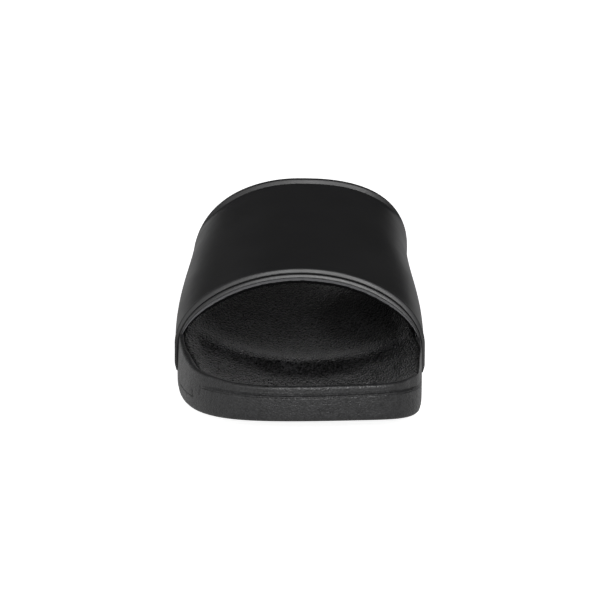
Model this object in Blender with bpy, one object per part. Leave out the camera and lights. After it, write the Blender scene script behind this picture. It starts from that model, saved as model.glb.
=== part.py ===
"""Sport slide sandal for the right foot: a moulded sole, a footbed set into it, and one wide padded strap.

Frame: the toe points to -Y, the medial side (big toe) is +X, +Z is up, and the origin is on the
floor under the middle of the object. A length called `back` is measured from the toe tip to the heel.
"""

import math
from collections import namedtuple

import bmesh
import bpy
import numpy as np

MM = 0.001

# Sole
SOLE_LENGTH = 290 * MM
BALL_WIDTH = 108.6 * MM
WAIST_WIDTH = 92.8 * MM
HEEL_WIDTH = 86.0 * MM
HEEL_RIM_HEIGHT = 35.5 * MM
HEEL_BED_HEIGHT = 23.0 * MM
TOE_SPRING = 8.0 * MM
SPRING_RUN = 88 * MM
WAIST_RISE = 2.4 * MM
HEEL_BEVEL = 1.6 * MM
HEEL_BEVEL_RUN = 20 * MM
BOTTOM_EDGE_RADIUS = 2.2 * MM

# Relief of the sole's side: a proud bumper round the toe, and a low moulded line round the rest
BUMPER_HEIGHT = 11.2 * MM
BUMPER_LEDGE = 1.0 * MM
BUMPER_LATERAL_END = 22 * MM
BUMPER_MEDIAL_END = 62 * MM
BUMPER_FADE = 12 * MM
LINE_LATERAL_START = 29 * MM
LINE_MEDIAL_START = 66 * MM
LINE_FADE = 3 * MM
LINE_HEIGHT = 6.0 * MM
LINE_WIDTH = 0.9 * MM
LINE_DEPTH = 0.6 * MM

# Rim round the footbed
RIM_WIDTH = 5.0 * MM
RIM_SHOULDER = 1.5 * MM
RIM_LEAN_SHARE = 0.30
RIM_DROP_SHARE = 0.16

# Footbed
BED_MIN_THICKNESS = 3.6 * MM
BED_EDGE_DROP = 0.7 * MM
BED_EDGE_ROUND = 0.5 * MM
BED_END_BLEND = 13 * MM
DISH_SQUARENESS = 3.2
TOE_RIDGE_HEIGHT = 2.0 * MM
TOE_RIDGE_BACK = 54 * MM
TOE_RIDGE_ACROSS = 3 * MM
TOE_RIDGE_BOW = 50 * MM
TOE_RIDGE_FRONT_RUN = 11 * MM
TOE_RIDGE_REAR_RUN = 15 * MM
ARCH_BUMP = 4.2 * MM
ARCH_BUMP_RUN = 34 * MM

# Tread
TREAD_DEPTH = 1.7 * MM
TREAD_GROOVE = 2.4 * MM
TREAD_PITCH = 9.6 * MM
TREAD_WAVE = 3.4 * MM
TREAD_WAVE_LENGTH = 22 * MM
TREAD_BORDER = 8.5 * MM

# Strap, measured on its outer face
STRAP_FOOT_HEIGHT = 5.7 * MM
STRAP_PROUD = 0.9 * MM
STRAP_FRONT_RISE = 51.4 * MM
STRAP_REAR_RISE = 75.0 * MM
STRAP_LATERAL_HOLLOW = 0.95 * MM
STRAP_MEDIAL_HOLLOW = 2.1 * MM
STRAP_CORNER = 4.0 * MM
STRAP_UPRIGHT_SHARE = 0.12
COVER_TOP_THICKNESS = 2.0 * MM
COVER_END_THICKNESS = 1.2 * MM
LINING_TOP_THICKNESS = 2.9 * MM
LINING_END_THICKNESS = 1.0 * MM
EDGE_BEAD = 0.8 * MM

CLEARANCE = 0.3 * MM

# How finely the meshes are cut
OUTLINE_STATIONS = 88
BED_COLUMNS = 14
STRAP_ROWS = 42
STRAP_COLUMNS = 7
POCKET_ROWS = 12
POCKET_COLUMNS = 9
POCKET_REACH = 12 * MM
POCKET_TOP_SHARE = 0.22

# The outline, one row for each cross section. `along` is a share of SOLE_LENGTH from the toe tip;
# `lateral` and `medial` are shares of half the width that the row names.
Outline = namedtuple("Outline", "along lateral medial width")
OUTLINE = (
    Outline(0.0100, 0.414, 0.497, BALL_WIDTH),
    Outline(0.0240, 0.549, 0.750, BALL_WIDTH),
    Outline(0.0480, 0.676, 0.858, BALL_WIDTH),
    Outline(0.0950, 0.816, 0.923, BALL_WIDTH),
    Outline(0.1700, 0.926, 0.956, BALL_WIDTH),
    Outline(0.2650, 0.990, 0.985, BALL_WIDTH),
    Outline(0.3520, 1.006, 0.985, BALL_WIDTH),
    Outline(0.4580, 0.970, 0.912, BALL_WIDTH),
    Outline(0.5810, 1.038, 0.962, WAIST_WIDTH),
    Outline(0.7040, 1.050, 1.022, HEEL_WIDTH),
    Outline(0.8270, 0.983, 1.024, HEEL_WIDTH),
    Outline(0.9080, 0.868, 0.930, HEEL_WIDTH),
    Outline(0.9580, 0.690, 0.762, HEEL_WIDTH),
    Outline(0.9880, 0.412, 0.484, HEEL_WIDTH),
)
TOE_TIP_ACROSS = -0.02
HEEL_TIP_ACROSS = 0.035

# Heights along the sole. The rim columns are shares of HEEL_RIM_HEIGHT, `bed` is the footbed's
# middle line and a share of HEEL_BED_HEIGHT.
Profile = namedtuple("Profile", "along rim_lateral rim_medial bed")
PROFILE = (
    Profile(0.000, 0.642, 0.642, 0.900),
    Profile(0.055, 0.630, 0.622, 0.800),
    Profile(0.110, 0.600, 0.596, 0.745),
    Profile(0.165, 0.594, 0.588, 0.735),
    Profile(0.245, 0.628, 0.610, 0.700),
    Profile(0.350, 0.680, 0.670, 0.685),
    Profile(0.500, 0.745, 0.800, 0.830),
    Profile(0.640, 0.830, 0.890, 0.960),
    Profile(0.780, 0.925, 0.945, 0.990),
    Profile(0.900, 0.985, 0.990, 1.000),
    Profile(1.000, 1.000, 1.000, 1.040),
)

# How far the edge of the footbed lies inside the outline, as shares of RIM_WIDTH
Rim = namedtuple("Rim", "along lateral medial")
RIM = (
    Rim(0.000, 0.84, 0.84),
    Rim(0.035, 0.86, 0.84),
    Rim(0.053, 0.82, 0.70),
    Rim(0.070, 0.84, 0.36),
    Rim(0.120, 0.92, 0.26),
    Rim(0.165, 0.98, 0.26),
    Rim(0.235, 0.66, 0.28),
    Rim(0.275, 0.65, 0.60),
    Rim(0.320, 0.66, 0.66),
    Rim(0.620, 0.68, 0.66),
    Rim(0.900, 0.80, 0.80),
    Rim(1.000, 0.94, 0.94),
)

# The strap's two edges on each side. `foot` is where the edge meets the sole, a share of SOLE_LENGTH.
# `spread` is how far the wall leans out from its foot up to `spring`, where it starts to bend over
# the instep. `fullness` is how square that bend is (2 is an ellipse).
StrapEdge = namedtuple("StrapEdge", "foot spread spring fullness")
LATERAL_FRONT = StrapEdge(0.2748, -0.1 * MM, 18 * MM, 1.95)
LATERAL_REAR = StrapEdge(0.6103, 3.0 * MM, 34 * MM, 2.10)
MEDIAL_FRONT = StrapEdge(0.2628, 0.1 * MM, 18 * MM, 1.99)
MEDIAL_REAR = StrapEdge(0.6000, 6.1 * MM, 40 * MM, 2.44)

# Stretches and places along the sole, as shares of SOLE_LENGTH
Stretch = namedtuple("Stretch", "start end")
STRAP_TOP = Stretch(0.2886, 0.5786)
WAIST = Stretch(0.42, 0.70)
FORE_TREAD = Stretch(0.055, 0.428)
HEEL_TREAD = Stretch(0.683, 0.931)
ARCH_MIDDLE = 0.545


def smooth(share):
    """0 to 1 with level ends."""
    share = np.clip(share, 0.0, 1.0)
    return share * share * (3 - 2 * share)


def mix(a, b, share):
    return a + (b - a) * share


def read_table(table, column, along):
    """A column of a table at any place along the sole, on a smooth curve through its rows."""
    places = np.array([row.along for row in table])
    values = np.array([getattr(row, column) for row in table])
    slopes = np.gradient(values, places)
    along = np.clip(along, places[0], places[-1])
    i = np.clip(np.searchsorted(places, along) - 1, 0, len(places) - 2)
    step = places[i + 1] - places[i]
    t = (along - places[i]) / step
    return (
        values[i] * (1 + 2 * t) * (1 - t) ** 2
        + values[i + 1] * t * t * (3 - 2 * t)
        + step * t * (1 - t) * (slopes[i] * (1 - t) - slopes[i + 1] * t)
    )


def closed_curve(points, count):
    """`count` points of the smooth closed curve through these points."""
    chords = np.linalg.norm(np.roll(points, -1, axis=0) - points, axis=1)
    size = len(points)
    matrix = np.zeros((size, size))
    right = np.zeros((size, 2))
    for i in range(size):
        before, after = chords[i - 1], chords[i]
        matrix[i, i - 1] += before
        matrix[i, i] += 2 * (before + after)
        matrix[i, (i + 1) % size] += after
        right[i] = 6 * (
            (points[(i + 1) % size] - points[i]) / after
            - (points[i] - points[i - 1]) / before
        )
    bends = np.linalg.solve(matrix, right)
    starts = np.concatenate([[0.0], np.cumsum(chords)])
    places = np.linspace(0, starts[-1], count, endpoint=False)
    i = np.searchsorted(starts, places, side="right") - 1
    step = chords[i][:, None]
    t = (places - starts[i])[:, None]
    j = (i + 1) % size
    return (
        bends[i] * (step - t) ** 3 / (6 * step)
        + bends[j] * t**3 / (6 * step)
        + (points[i] / step - bends[i] * step / 6) * (step - t)
        + (points[j] / step - bends[j] * step / 6) * t
    )


def outline_curve(count):
    """The sole's outline from above as (across, back): toe tip, medial side, heel, lateral side."""
    medial = [(r.medial * r.width / 2, r.along * SOLE_LENGTH) for r in OUTLINE]
    lateral = [(-r.lateral * r.width / 2, r.along * SOLE_LENGTH) for r in OUTLINE]
    tip = (TOE_TIP_ACROSS * BALL_WIDTH / 2, 0.0)
    heel = (HEEL_TIP_ACROSS * HEEL_WIDTH / 2, SOLE_LENGTH)
    return closed_curve(np.array([tip, *medial, heel, *reversed(lateral)]), count)


def outline_stations(count):
    """Points of the outline, set closer together where it bends, and their outward directions.

    Point k and point count - k face each other across the sole.
    """
    dense = outline_curve(4000)
    ahead = np.roll(dense, -1, axis=0) - dense
    steps = np.linalg.norm(ahead, axis=1)
    heading = np.unwrap(np.arctan2(ahead[:, 1], ahead[:, 0]))
    turn = np.abs(np.gradient(heading))
    bend_weight = 34 * MM
    weight = steps + bend_weight * turn
    heel = int(np.argmax(dense[:, 1]))
    stations = []
    for first, last in ((0, heel), (heel, len(dense))):
        run = np.concatenate([[0.0], np.cumsum(weight[first:last])])
        wanted = np.linspace(0, run[-1], count // 2, endpoint=False)
        stations.append(first + np.interp(wanted, run, np.arange(len(run))))
    places = np.concatenate(stations)
    index = np.arange(len(dense) + 1)
    looped = np.vstack([dense, dense[:1]])
    points = np.stack([np.interp(places, index, looped[:, i]) for i in (0, 1)], 1)
    around = np.stack([np.interp(places, index, np.append(ahead[:, i], ahead[0, i])) for i in (0, 1)], 1)
    around /= np.linalg.norm(around, axis=1)[:, None]
    outward = np.stack([around[:, 1], -around[:, 0]], 1)
    return points, outward


def across_at(back, side):
    """How far the outline lies from the middle line at this distance from the toe tip."""
    dense = outline_curve(4000)
    heel = int(np.argmax(dense[:, 1]))
    half = dense[: heel + 1] if side > 0 else np.vstack([dense[heel:], dense[:1]])[::-1]
    return np.interp(back, half[:, 1], half[:, 0])


def toe_spring(back):
    """How far the toe curves up from the floor."""
    return TOE_SPRING * np.clip(1 - back / SPRING_RUN, 0, 1) ** 1.6


def bottom_height(back):
    """Height of the tread face: toe spring, flat forefoot, raised waist, flat heel, heel bevel."""
    waist = np.clip((back / SOLE_LENGTH - WAIST.start) / (WAIST.end - WAIST.start), 0, 1)
    rise = WAIST_RISE * np.sin(np.pi * waist) ** 2
    bevel = HEEL_BEVEL * np.clip(1 - (SOLE_LENGTH - back) / HEEL_BEVEL_RUN, 0, 1) ** 2
    return toe_spring(back) + rise + bevel


def rim_height(back, across):
    """Height of the rim's top, which differs between the two sides."""
    along = back / SOLE_LENGTH
    lateral = read_table(PROFILE, "rim_lateral", along)
    medial = read_table(PROFILE, "rim_medial", along)
    side = smooth((across / (BALL_WIDTH / 2) + 1) / 2)
    return HEEL_RIM_HEIGHT * mix(lateral, medial, side)


def bed_line(back):
    """Height of the footbed along its middle."""
    return HEEL_BED_HEIGHT * read_table(PROFILE, "bed", back / SOLE_LENGTH)


def seat_height(back):
    """Height of the sole's inner floor, on which the footbed lies."""
    return bed_line(back) - BED_MIN_THICKNESS


def rim_width(points):
    """Distance from the outline to the footbed's edge at each point of the outline."""
    along = points[:, 1] / SOLE_LENGTH
    lateral, medial = read_table(RIM, "lateral", along), read_table(RIM, "medial", along)
    return RIM_WIDTH * np.where(points[:, 0] < 0, lateral, medial)


def relief_share(points, lateral_end, medial_end, fade):
    """1 in front of the place where a relief of the side ends, 0 behind it."""
    end = np.where(points[:, 0] < 0, lateral_end, medial_end)
    return smooth((end - points[:, 1]) / fade)


def ring(points, outward, inset, height):
    """Corners of one loop round the sole, inset from the outline, in the object's frame."""
    moved = points - outward * np.reshape(inset, (-1, 1))
    return np.stack([moved[:, 0], moved[:, 1] - SOLE_LENGTH / 2, height], 1)


def add_loops(mesh, loops, closed=True):
    """Joins neighbouring loops of corners with four-sided faces and returns the corner rows."""
    rows = [[mesh.verts.new(co) for co in loop] for loop in loops]
    for low, high in zip(rows, rows[1:]):
        count = len(low)
        for i in range(count if closed else count - 1):
            j = (i + 1) % count
            mesh.faces.new((low[i], low[j], high[j], high[i]))
    return rows


def bridge_across(mesh, row, columns, place):
    """Closes a loop round the sole with strips from side to side. `place` moves a new corner."""
    half = len(row) // 2
    lines = []
    for i in range(1, half):
        medial, lateral = row[i], row[-i]
        inner = []
        for share in np.linspace(0, 1, columns + 1)[1:-1]:
            co = medial.co.lerp(lateral.co, share)
            inner.append(mesh.verts.new(place(co)))
        lines.append([medial, *inner, lateral])
    for tip, line in ((row[0], lines[0]), (row[half], lines[-1])):
        for a, b in zip(line, line[1:]):
            mesh.faces.new((tip, a, b))
    for front, rear in zip(lines, lines[1:]):
        for i in range(columns):
            mesh.faces.new((front[i], front[i + 1], rear[i + 1], rear[i]))


def finish_object(name, mesh, look, flat_angle=30):
    """Turns the faces outward, shades the round parts smooth and links the object."""
    bmesh.ops.recalc_face_normals(mesh, faces=mesh.faces[:])
    data = bpy.data.meshes.new(name)
    mesh.to_mesh(data)
    mesh.free()
    data.shade_smooth()
    data.set_sharp_from_angle(angle=math.radians(flat_angle))
    data.materials.append(look)
    item = bpy.data.objects.new(name, data)
    bpy.context.collection.objects.link(item)
    return item


def make_look(name, colour, roughness):
    look = bpy.data.materials.new(name)
    look.use_nodes = True
    shader = look.node_tree.nodes["Principled BSDF"]
    shader.inputs["Base Color"].default_value = (*colour, 1.0)
    shader.inputs["Roughness"].default_value = roughness
    shader.inputs["Metallic"].default_value = 0.0
    look.diffuse_color = (*colour, 1.0)
    return look


def add_cut(item, cutter):
    """Cuts `cutter` out of `item` and keeps the cutter as a hidden helper."""
    cutter.hide_render = True
    cutter.display_type = "WIRE"
    cut = item.modifiers.new(cutter.name, "BOOLEAN")
    cut.operation = "DIFFERENCE"
    cut.solver = "EXACT"
    cut.object = cutter


def sole_loops(points, outward):
    """The sole's side from the tread edge over the rim to the inner floor, one loop for each level."""
    back = points[:, 1]
    base = bottom_height(back)
    rim = rim_height(back, points[:, 0])
    bumper = relief_share(points, BUMPER_LATERAL_END, BUMPER_MEDIAL_END, BUMPER_FADE)
    no_line = relief_share(points, LINE_LATERAL_START, LINE_MEDIAL_START, LINE_FADE)
    width = rim_width(points)
    drop = RIM_DROP_SHARE * width
    lean = RIM_LEAN_SHARE * width
    wall = rim - base
    radius = BOTTOM_EDGE_RADIUS
    diagonal = radius * (1 - math.sqrt(0.5))
    ledge = BUMPER_LEDGE * bumper
    groove = LINE_DEPTH * (1 - no_line)
    line = toe_spring(back) + LINE_HEIGHT - base
    half_line = LINE_WIDTH / 2
    upper = lean + np.minimum(ledge, 0.4 * (width - lean))
    left = width - upper

    def leaning(height):
        return lean * np.clip((height - line) / (wall - line), 0, 1)

    levels = [
        (radius, 0.0),
        (diagonal, diagonal),
        (0.0, radius),
        (0.0, line - half_line),
        (groove, line),
        (0.0, line + half_line),
        (leaning(BUMPER_HEIGHT - BUMPER_LEDGE), BUMPER_HEIGHT - BUMPER_LEDGE),
        (leaning(BUMPER_HEIGHT) + 0.35 * (upper - lean), BUMPER_HEIGHT - 0.25 * BUMPER_LEDGE),
        (leaning(BUMPER_HEIGHT) + upper - lean, BUMPER_HEIGHT + 0.1 * BUMPER_LEDGE),
        (upper, wall - RIM_SHOULDER),
        (upper + 0.12 * left, wall - 0.45 * RIM_SHOULDER),
        (upper + 0.38 * left, wall - 0.08 * RIM_SHOULDER),
        (upper + 0.70 * left, wall),
        (width - 0.5 * drop, wall - 0.4 * drop),
        (width, wall - 1.5 * drop),
        (width, seat_height(back) - base),
    ]
    return [ring(points, outward, inset, base + height) for inset, height in levels]


def make_sole(look):
    points, outward = outline_stations(OUTLINE_STATIONS)
    loops = sole_loops(points, outward)
    mesh = bmesh.new()
    rows = add_loops(mesh, loops)

    def on_tread(co):
        co.z = bottom_height(co.y + SOLE_LENGTH / 2)
        return co

    def on_seat(co):
        co.z = seat_height(co.y + SOLE_LENGTH / 2)
        return co

    bridge_across(mesh, rows[0], 2, on_tread)
    bridge_across(mesh, rows[-1], 2, on_seat)
    return finish_object("sole", mesh, look)


def tread_bar(mesh, back):
    """One wavy groove across the sole, as a bar that reaches from below the tread into it."""
    middle = [across_at(back, side) for side in (-1, 1)]
    start, end = middle[0] + TREAD_BORDER, middle[1] - TREAD_BORDER
    steps = max(4, round((end - start) / (TREAD_WAVE_LENGTH / 4)))
    across = np.linspace(start, end, steps + 1)
    wave = TREAD_WAVE * np.cos(2 * np.pi * across / TREAD_WAVE_LENGTH)
    loops = []
    for x, shift in zip(across, wave):
        y = back + shift
        ceiling = bottom_height(y) + TREAD_DEPTH
        floor = bottom_height(y) - TREAD_DEPTH
        half = TREAD_GROOVE / 2
        loops.append(
            [
                (x, y - SOLE_LENGTH / 2 - half, floor),
                (x, y - SOLE_LENGTH / 2 + half, floor),
                (x, y - SOLE_LENGTH / 2 + half, ceiling),
                (x, y - SOLE_LENGTH / 2 - half, ceiling),
            ]
        )
    rows = add_loops(mesh, loops)
    mesh.faces.new(rows[0])
    mesh.faces.new(rows[-1])


def make_tread_cutter(look):
    mesh = bmesh.new()
    for zone in (FORE_TREAD, HEEL_TREAD):
        start, length = zone.start * SOLE_LENGTH, (zone.end - zone.start) * SOLE_LENGTH
        count = max(1, int(length / TREAD_PITCH))
        for i in range(count):
            tread_bar(mesh, start + (i + 0.5) * length / count)
    return finish_object("tread_grooves", mesh, look)


def bed_height(across, back):
    """Height of the footbed's face: a dish with a toe ridge, a ball hollow, an arch and a heel cup."""
    left, right = across_at(back, -1), across_at(back, 1)
    middle, reach = (left + right) / 2, (right - left) / 2
    offset = (across - middle) / np.maximum(reach, 1 * MM)
    edge = rim_height(back, across) - BED_EDGE_DROP
    line = bed_line(back)
    dish = line + (edge - line) * np.clip(np.abs(offset), 0, 1) ** DISH_SQUARENESS
    ridge_at = TOE_RIDGE_BACK + TOE_RIDGE_BOW * ((across - TOE_RIDGE_ACROSS) / (BALL_WIDTH / 2)) ** 2
    off_ridge = back - ridge_at
    run = np.where(off_ridge < 0, TOE_RIDGE_FRONT_RUN, TOE_RIDGE_REAR_RUN)
    ridge = TOE_RIDGE_HEIGHT * np.exp(-((off_ridge / run) ** 2)) * (1 - smooth(np.abs(offset)) ** 3)
    arch_off = (back - ARCH_MIDDLE * SOLE_LENGTH) / ARCH_BUMP_RUN
    arch_across = smooth((offset + 0.1) / 0.8) * (1 - smooth((offset - 0.75) / 0.25))
    arch = ARCH_BUMP * np.exp(-(arch_off**2)) * arch_across
    from_end = np.minimum(back, SOLE_LENGTH - back)
    return mix(edge, dish, smooth(from_end / BED_END_BLEND)) + ridge + arch


def make_footbed(look):
    points, outward = outline_stations(OUTLINE_STATIONS)
    back = points[:, 1]
    width = rim_width(points) + CLEARANCE
    edge = rim_height(back, points[:, 0]) - BED_EDGE_DROP
    under = seat_height(back) + CLEARANCE
    levels = [
        (width + BED_EDGE_ROUND, under),
        (width, under + BED_EDGE_ROUND),
        (width, edge - BED_EDGE_ROUND),
        (width + BED_EDGE_ROUND, edge),
    ]
    mesh = bmesh.new()
    rows = add_loops(mesh, [ring(points, outward, inset, height) for inset, height in levels])

    def on_seat(co):
        co.z = seat_height(co.y + SOLE_LENGTH / 2) + CLEARANCE
        return co

    def on_face(co):
        co.z = bed_height(co.x, co.y + SOLE_LENGTH / 2)
        return co

    bridge_across(mesh, rows[0], 2, on_seat)
    bridge_across(mesh, rows[-1], BED_COLUMNS, on_face)
    return finish_object("footbed", mesh, look)


def strap_point(u, v):
    """A point of the strap's outer face. `u` runs from the lateral foot (0) over the instep to the
    medial foot (1), `v` from the front edge (0) to the rear edge (1)."""
    upright = STRAP_UPRIGHT_SHARE
    lateral = u < 0.5

    def edge_value(column):
        on_lateral = mix(getattr(LATERAL_FRONT, column), getattr(LATERAL_REAR, column), v)
        on_medial = mix(getattr(MEDIAL_FRONT, column), getattr(MEDIAL_REAR, column), v)
        return np.where(lateral, on_lateral, on_medial)

    from_foot = np.minimum(u, 1 - u)
    climb = np.clip(from_foot / upright, 0, 1)
    angle = np.clip((from_foot - upright) / (0.5 - upright), 0, 1) * np.pi / 2
    spring, fullness, spread = (edge_value(c) for c in ("spring", "fullness", "spread"))
    foot_back = edge_value("foot") * SOLE_LENGTH
    rise = mix(STRAP_FRONT_RISE, STRAP_REAR_RISE, v)
    outline = np.where(lateral, -across_at(foot_back, -1), across_at(foot_back, 1))
    foot_across = outline + STRAP_PROUD
    hollow = np.where(lateral, STRAP_LATERAL_HOLLOW, STRAP_MEDIAL_HOLLOW) * 4 * v * (1 - v)
    half = foot_across + spread - hollow
    arch_across = half * np.cos(angle) ** (2 / fullness)
    arch_height = spring + (rise - spring) * np.sin(angle) ** (2 / fullness)
    on_foot = from_foot < upright
    across = np.where(on_foot, mix(foot_across, half, smooth(climb)), arch_across)
    height = np.where(on_foot, mix(STRAP_FOOT_HEIGHT, spring, climb), arch_height)
    top_back = mix(STRAP_TOP.start, STRAP_TOP.end, v) * SOLE_LENGTH
    level = (height - STRAP_FOOT_HEIGHT) / (rise - STRAP_FOOT_HEIGHT)
    back = mix(foot_back, top_back, level)
    return np.stack([np.where(lateral, -across, across), back - SOLE_LENGTH / 2, height], -1)


def strap_normal(u, v):
    """The outward direction of the strap's outer face."""
    small = 1e-3
    along_u = strap_point(np.minimum(u + small, 1), v) - strap_point(np.maximum(u - small, 0), v)
    along_v = strap_point(u, v + small) - strap_point(u, v - small)
    normal = np.cross(along_u, along_v)
    return normal / np.linalg.norm(normal, axis=-1)[..., None]


def strap_rows():
    """Places across the strap, set closer together at its feet."""
    share = np.linspace(0, 1, STRAP_ROWS)
    return share - 0.035 * np.sin(4 * np.pi * share) / 2


def layer_thickness(top, end, u):
    return mix(end, top, smooth((np.minimum(u, 1 - u) - 0.1) / 0.24))


def edge_roll(thickness, bead):
    """Half of a layer's section at one edge, as (from the edge, depth): inner face, roll, outer face."""
    radius = (thickness + bead) / 2
    middle = thickness - radius
    turn = np.radians([-90, -135, 180, 135, 100])
    roll = [(radius + radius * np.cos(a), middle - radius * np.sin(a)) for a in turn]
    return [(4.2 * radius, thickness), *roll, (2.9 * radius, 0.0)]


def corner_inset(u):
    """How far the rounded corners of the strap's feet draw its edges in at the place `u`."""
    middle = np.array(0.5)
    to_end = np.linalg.norm(strap_point(u, middle) - strap_point(np.round(u), middle))
    inside = max(0.0, STRAP_CORNER - to_end)
    return STRAP_CORNER - math.sqrt(STRAP_CORNER**2 - inside**2)


def strap_length(u):
    """Distance from the strap's front edge to its rear edge at the place `u`."""
    return np.linalg.norm(strap_point(u, np.array(1.0)) - strap_point(u, np.array(0.0)))


def layer_loop(u, top, end, bead, start_depth):
    """The closed section of one strap layer at the place `u`, from (place, depth) pairs."""
    thickness = layer_thickness(top, end, u)
    length = strap_length(u)
    corner = corner_inset(u)
    half = [(edge + corner, deep) for edge, deep in edge_roll(thickness, bead)]
    inner_start, outer_start = half[0][0], half[-1][0]
    middle = np.linspace(0, 1, STRAP_COLUMNS)[1:-1]
    outer = [(mix(outer_start, length - outer_start, s), 0.0) for s in middle]
    inner = [(mix(length - inner_start, inner_start, s), thickness) for s in middle]
    rear = [(length - edge, deep) for edge, deep in reversed(half)]
    section = [*half, *outer, *rear, *inner]
    places = np.array([edge / length for edge, _ in section])
    depths = np.array([deep for _, deep in section]) + start_depth(u)
    us = np.full(len(section), u)
    return strap_point(us, places) - strap_normal(us, places) * depths[:, None]


def make_layer(name, look, top, end, bead, start_depth):
    """One layer of the strap: a padded band, thinner at its feet, with rolled edges."""
    mesh = bmesh.new()
    loops = [layer_loop(u, top, end, bead, start_depth) for u in strap_rows()]
    rows = add_loops(mesh, loops)
    mesh.faces.new(rows[0])
    mesh.faces.new(rows[-1])
    return finish_object(name, mesh, look)


def make_pocket(name, look, foot, last):
    """The recess in the sole's side for one foot of the strap, larger than the strap by the clearance."""
    mesh = bmesh.new()
    loops = []
    for u in mix(foot, last, np.linspace(0, 1, POCKET_ROWS) ** 2):
        cover = layer_thickness(COVER_TOP_THICKNESS, COVER_END_THICKNESS, u)
        lining = layer_thickness(LINING_TOP_THICKNESS, LINING_END_THICKNESS, u)
        margin = (CLEARANCE - corner_inset(u)) / strap_length(u)
        places = np.linspace(-margin, 1 + margin, POCKET_COLUMNS)
        us = np.full(len(places), u)
        face, out = strap_point(us, places), strap_normal(us, places)
        inner = face - out * (cover + CLEARANCE + lining + CLEARANCE)
        outer = face + out * POCKET_REACH
        loops.append(np.vstack([inner, outer[::-1]]))
    loops[0][:, 2] -= CLEARANCE
    rows = add_loops(mesh, loops)
    mesh.faces.new(rows[0])
    mesh.faces.new(rows[-1])
    return finish_object(name, mesh, look)


def clear_scene():
    for item in list(bpy.data.objects):
        bpy.data.objects.remove(item, do_unlink=True)


def main():
    clear_scene()
    sole_look = make_look("moulded_sole_foam", (0.035, 0.035, 0.036), 0.55)
    bed_look = make_look("grained_footbed_foam", (0.016, 0.016, 0.017), 0.8)
    cover_look = make_look("coated_strap_skin", (0.012, 0.012, 0.013), 0.42)
    lining_look = make_look("knit_strap_lining", (0.03, 0.03, 0.031), 0.9)
    helper_look = make_look("helper", (0.5, 0.1, 0.1), 0.5)

    sole = make_sole(sole_look)
    add_cut(sole, make_tread_cutter(helper_look))
    add_cut(sole, make_pocket("lateral_pocket", helper_look, 0.0, POCKET_TOP_SHARE))
    add_cut(sole, make_pocket("medial_pocket", helper_look, 1.0, 1.0 - POCKET_TOP_SHARE))
    make_footbed(bed_look)

    def at_face(u):
        return 0.0

    def under_cover(u):
        return layer_thickness(COVER_TOP_THICKNESS, COVER_END_THICKNESS, u) + CLEARANCE

    make_layer("strap_cover", cover_look, COVER_TOP_THICKNESS, COVER_END_THICKNESS, EDGE_BEAD, at_face)
    make_layer("strap_lining", lining_look, LINING_TOP_THICKNESS, LINING_END_THICKNESS, 0.0, under_cover)


main()
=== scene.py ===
"""Looks of the sport slide sandal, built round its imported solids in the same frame.

Frame: the toe points to -Y, the medial side (big toe) is +X, +Z is up, and the origin is on the
floor under the middle of the object. A length called `back` is measured from the toe tip to the heel.
"""

import math
from collections import namedtuple

import bmesh
import bpy
import numpy as np
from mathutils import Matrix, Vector


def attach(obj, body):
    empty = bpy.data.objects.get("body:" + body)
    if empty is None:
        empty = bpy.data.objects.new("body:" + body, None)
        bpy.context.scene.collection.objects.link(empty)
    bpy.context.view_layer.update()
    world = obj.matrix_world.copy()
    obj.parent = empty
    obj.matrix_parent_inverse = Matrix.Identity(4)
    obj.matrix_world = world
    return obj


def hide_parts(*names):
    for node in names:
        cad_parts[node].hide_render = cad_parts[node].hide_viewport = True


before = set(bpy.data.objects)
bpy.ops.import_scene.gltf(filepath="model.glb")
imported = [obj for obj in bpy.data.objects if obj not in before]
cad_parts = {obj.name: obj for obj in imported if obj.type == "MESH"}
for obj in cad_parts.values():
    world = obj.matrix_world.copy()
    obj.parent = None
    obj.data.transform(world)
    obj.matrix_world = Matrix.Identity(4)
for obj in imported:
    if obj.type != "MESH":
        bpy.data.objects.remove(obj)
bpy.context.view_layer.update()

MM = 0.001

# Sole
SOLE_LENGTH = 290 * MM
BALL_WIDTH = 108.6 * MM
WAIST_WIDTH = 92.8 * MM
HEEL_WIDTH = 86.0 * MM
HEEL_RIM_HEIGHT = 35.5 * MM
HEEL_BED_HEIGHT = 23.0 * MM
TOE_SPRING = 8.0 * MM
SPRING_RUN = 88 * MM
WAIST_RISE = 2.4 * MM
HEEL_BEVEL = 1.6 * MM
HEEL_BEVEL_RUN = 20 * MM
BOTTOM_EDGE_RADIUS = 2.2 * MM

# Relief of the sole's side: a proud bumper round the toe with a thin groove along its upper edge, and a
# low moulded line round the rest
BUMPER_HEIGHT = 11.2 * MM
BUMPER_LEDGE = 1.0 * MM
BUMPER_LATERAL_END = 22 * MM
BUMPER_MEDIAL_END = 62 * MM
BUMPER_FADE = 12 * MM
BUMPER_CHAMFER = 1.0 * MM
BUMPER_GROOVE_WIDTH = 0.5 * MM
BUMPER_GROOVE_DEPTH = 0.38 * MM
BUMPER_CORNER_LIFT = 0.9 * MM
LINE_LATERAL_START = 29 * MM
LINE_MEDIAL_START = 66 * MM
LINE_FADE = 3 * MM
LINE_HEIGHT = 6.0 * MM
LINE_WIDTH = 0.9 * MM
LINE_DEPTH = 0.6 * MM

# Rim round the footbed. The wall leans in towards it, but less so at the tip of the toe.
RIM_WIDTH = 5.0 * MM
RIM_SHOULDER = 1.0 * MM
RIM_LEAN_SHARE = 0.30
RIM_DROP_SHARE = 0.16
TOE_UPRIGHT_SHARE = 0.75
TOE_UPRIGHT_END = 16 * MM
TOE_UPRIGHT_FADE = 12 * MM

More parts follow.
